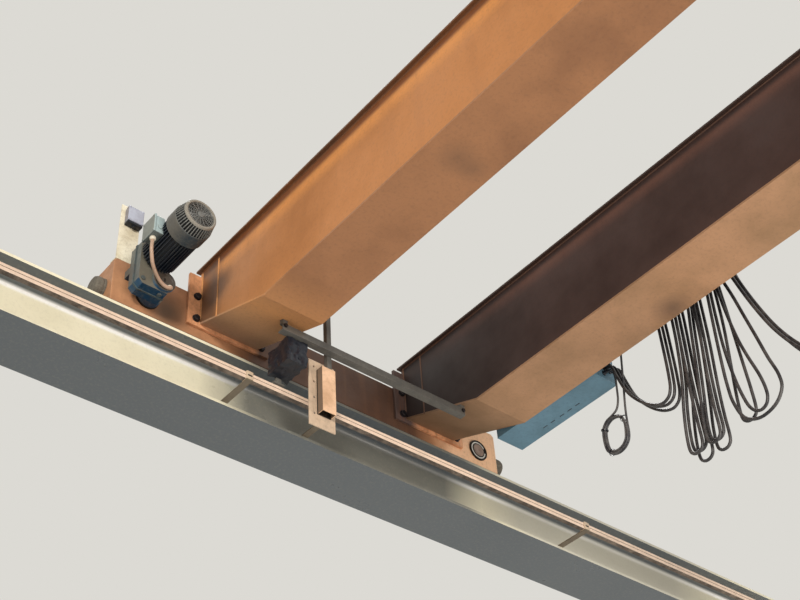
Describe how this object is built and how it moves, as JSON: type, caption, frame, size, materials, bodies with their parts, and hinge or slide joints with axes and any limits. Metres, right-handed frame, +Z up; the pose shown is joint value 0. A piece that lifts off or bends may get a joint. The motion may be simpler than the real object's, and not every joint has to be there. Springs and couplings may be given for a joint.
{
  "type": "double-girder overhead bridge crane",
  "caption": "Double-girder overhead bridge crane on two runway beams, with end carriages, wheel drives, conductor line, control cabinet and festoon cables.",
  "frame": {"origin": "underside of the near runway beam, below the middle of its rail", "axes": "+X along the runway, +Y across the span from the far runway to the near one, +Z up"},
  "size_m": [6.7, 10.3, 1.302],
  "materials": {
    "runway_paint": "old cream-grey paint",
    "rail_steel": "rolled steel, dull",
    "conductor_cover": "dusty insulating cover",
    "dark_steel": "dark painted steel",
    "crane_paint": "faded orange paint with brown dirt",
    "buffer_rubber": "dusty rubber",
    "bearing_steel": "black iron",
    "bolt_steel": "dark bolt steel",
    "gear_paint": "blue enamel under dust",
    "motor_paint": "navy enamel",
    "terminal_aluminium": "pale cast aluminium",
    "conduit_plastic": "sun-faded plastic conduit",
    "cream_paint": "cream paint",
    "sensor_plastic": "lavender-grey plastic",
    "tan_paint": "tan paint",
    "collector_plastic": "black plastic",
    "cabinet_paint": "blue-grey paint",
    "cable_jacket": "grey-black cable jacket",
    "wheel_iron": "rolled iron"
  },
  "bodies": {
    "runway": {"runway_beam_near": "runway_paint", "runway_beam_far": "runway_paint", "rail_near": "rail_steel", "rail_far": "rail_steel", "conductor_rail": "conductor_cover", "conductor_brackets": "dark_steel"},
    "bridge": {"carriage_near": "crane_paint", "carriage_far": "crane_paint", "buffers": "buffer_rubber", "bearing_rings": "bearing_steel", "girder_1_webs": "crane_paint", "girder_1_top_flange": "crane_paint", "girder_1_soffit": "crane_paint", "girder_2_webs": "crane_paint", "girder_2_top_flange": "crane_paint", "girder_2_soffit": "crane_paint", "girder_end_plates": "crane_paint", "girder_bolts": "bolt_steel", "crab_rails": "rail_steel", "gear_unit_near": "gear_paint", "gear_unit_far": "gear_paint", "drive_motor_near": "motor_paint", "drive_motor_far": "motor_paint", "fan_covers": "motor_paint", "terminal_boxes": "terminal_aluminium", "motor_conduits": "conduit_plastic", "sensor_plate": "cream_paint", "sensor_housing": "sensor_plastic", "collector_bar": "dark_steel", "collector_post": "dark_steel", "collector_plate": "cream_paint", "towing_tube": "tan_paint", "collector_head": "collector_plastic", "control_cabinet": "cabinet_paint", "cabinet_brackets": "dark_steel", "festoon_track": "rail_steel", "festoon_brackets": "dark_steel", "cable_trolleys": "dark_steel", "festoon_cable_1": "cable_jacket", "festoon_cable_2": "cable_jacket", "festoon_cable_3": "cable_jacket", "cable_coil": "cable_jacket"},
    "wheel_near_drive": {"wheel_near_drive": "wheel_iron"},
    "wheel_near_idle": {"wheel_near_idle": "wheel_iron"},
    "wheel_far_drive": {"wheel_far_drive": "wheel_iron"},
    "wheel_far_idle": {"wheel_far_idle": "wheel_iron"}
  },
  "joints": [
    {"name": "bridge_travel", "type": "slide", "parent": "runway", "child": "bridge", "axis": [1, 0, 0], "range_m": [-1.6, 1.6]},
    {"name": "wheel_near_drive_spin", "type": "hinge", "parent": "bridge", "child": "wheel_near_drive", "pos_m": [-0.9295, 0, 0.4403], "axis": [0, 1, 0], "continuous": true},
    {"name": "wheel_near_idle_spin", "type": "hinge", "parent": "bridge", "child": "wheel_near_idle", "pos_m": [0.9855, 0, 0.4403], "axis": [0, 1, 0], "continuous": true},
    {"name": "wheel_far_drive_spin", "type": "hinge", "parent": "bridge", "child": "wheel_far_drive", "pos_m": [-0.9295, -10, 0.4403], "axis": [0, 1, 0], "continuous": true},
    {"name": "wheel_far_idle_spin", "type": "hinge", "parent": "bridge", "child": "wheel_far_idle", "pos_m": [0.9855, -10, 0.4403], "axis": [0, 1, 0], "continuous": true}
  ],
  "couplings": [
    {"joint": "wheel_near_drive_spin", "follows": "bridge_travel", "rad_per_m": 10},
    {"joint": "wheel_near_idle_spin", "follows": "bridge_travel", "rad_per_m": 10},
    {"joint": "wheel_far_drive_spin", "follows": "bridge_travel", "rad_per_m": 10},
    {"joint": "wheel_far_idle_spin", "follows": "bridge_travel", "rad_per_m": 10}
  ]
}
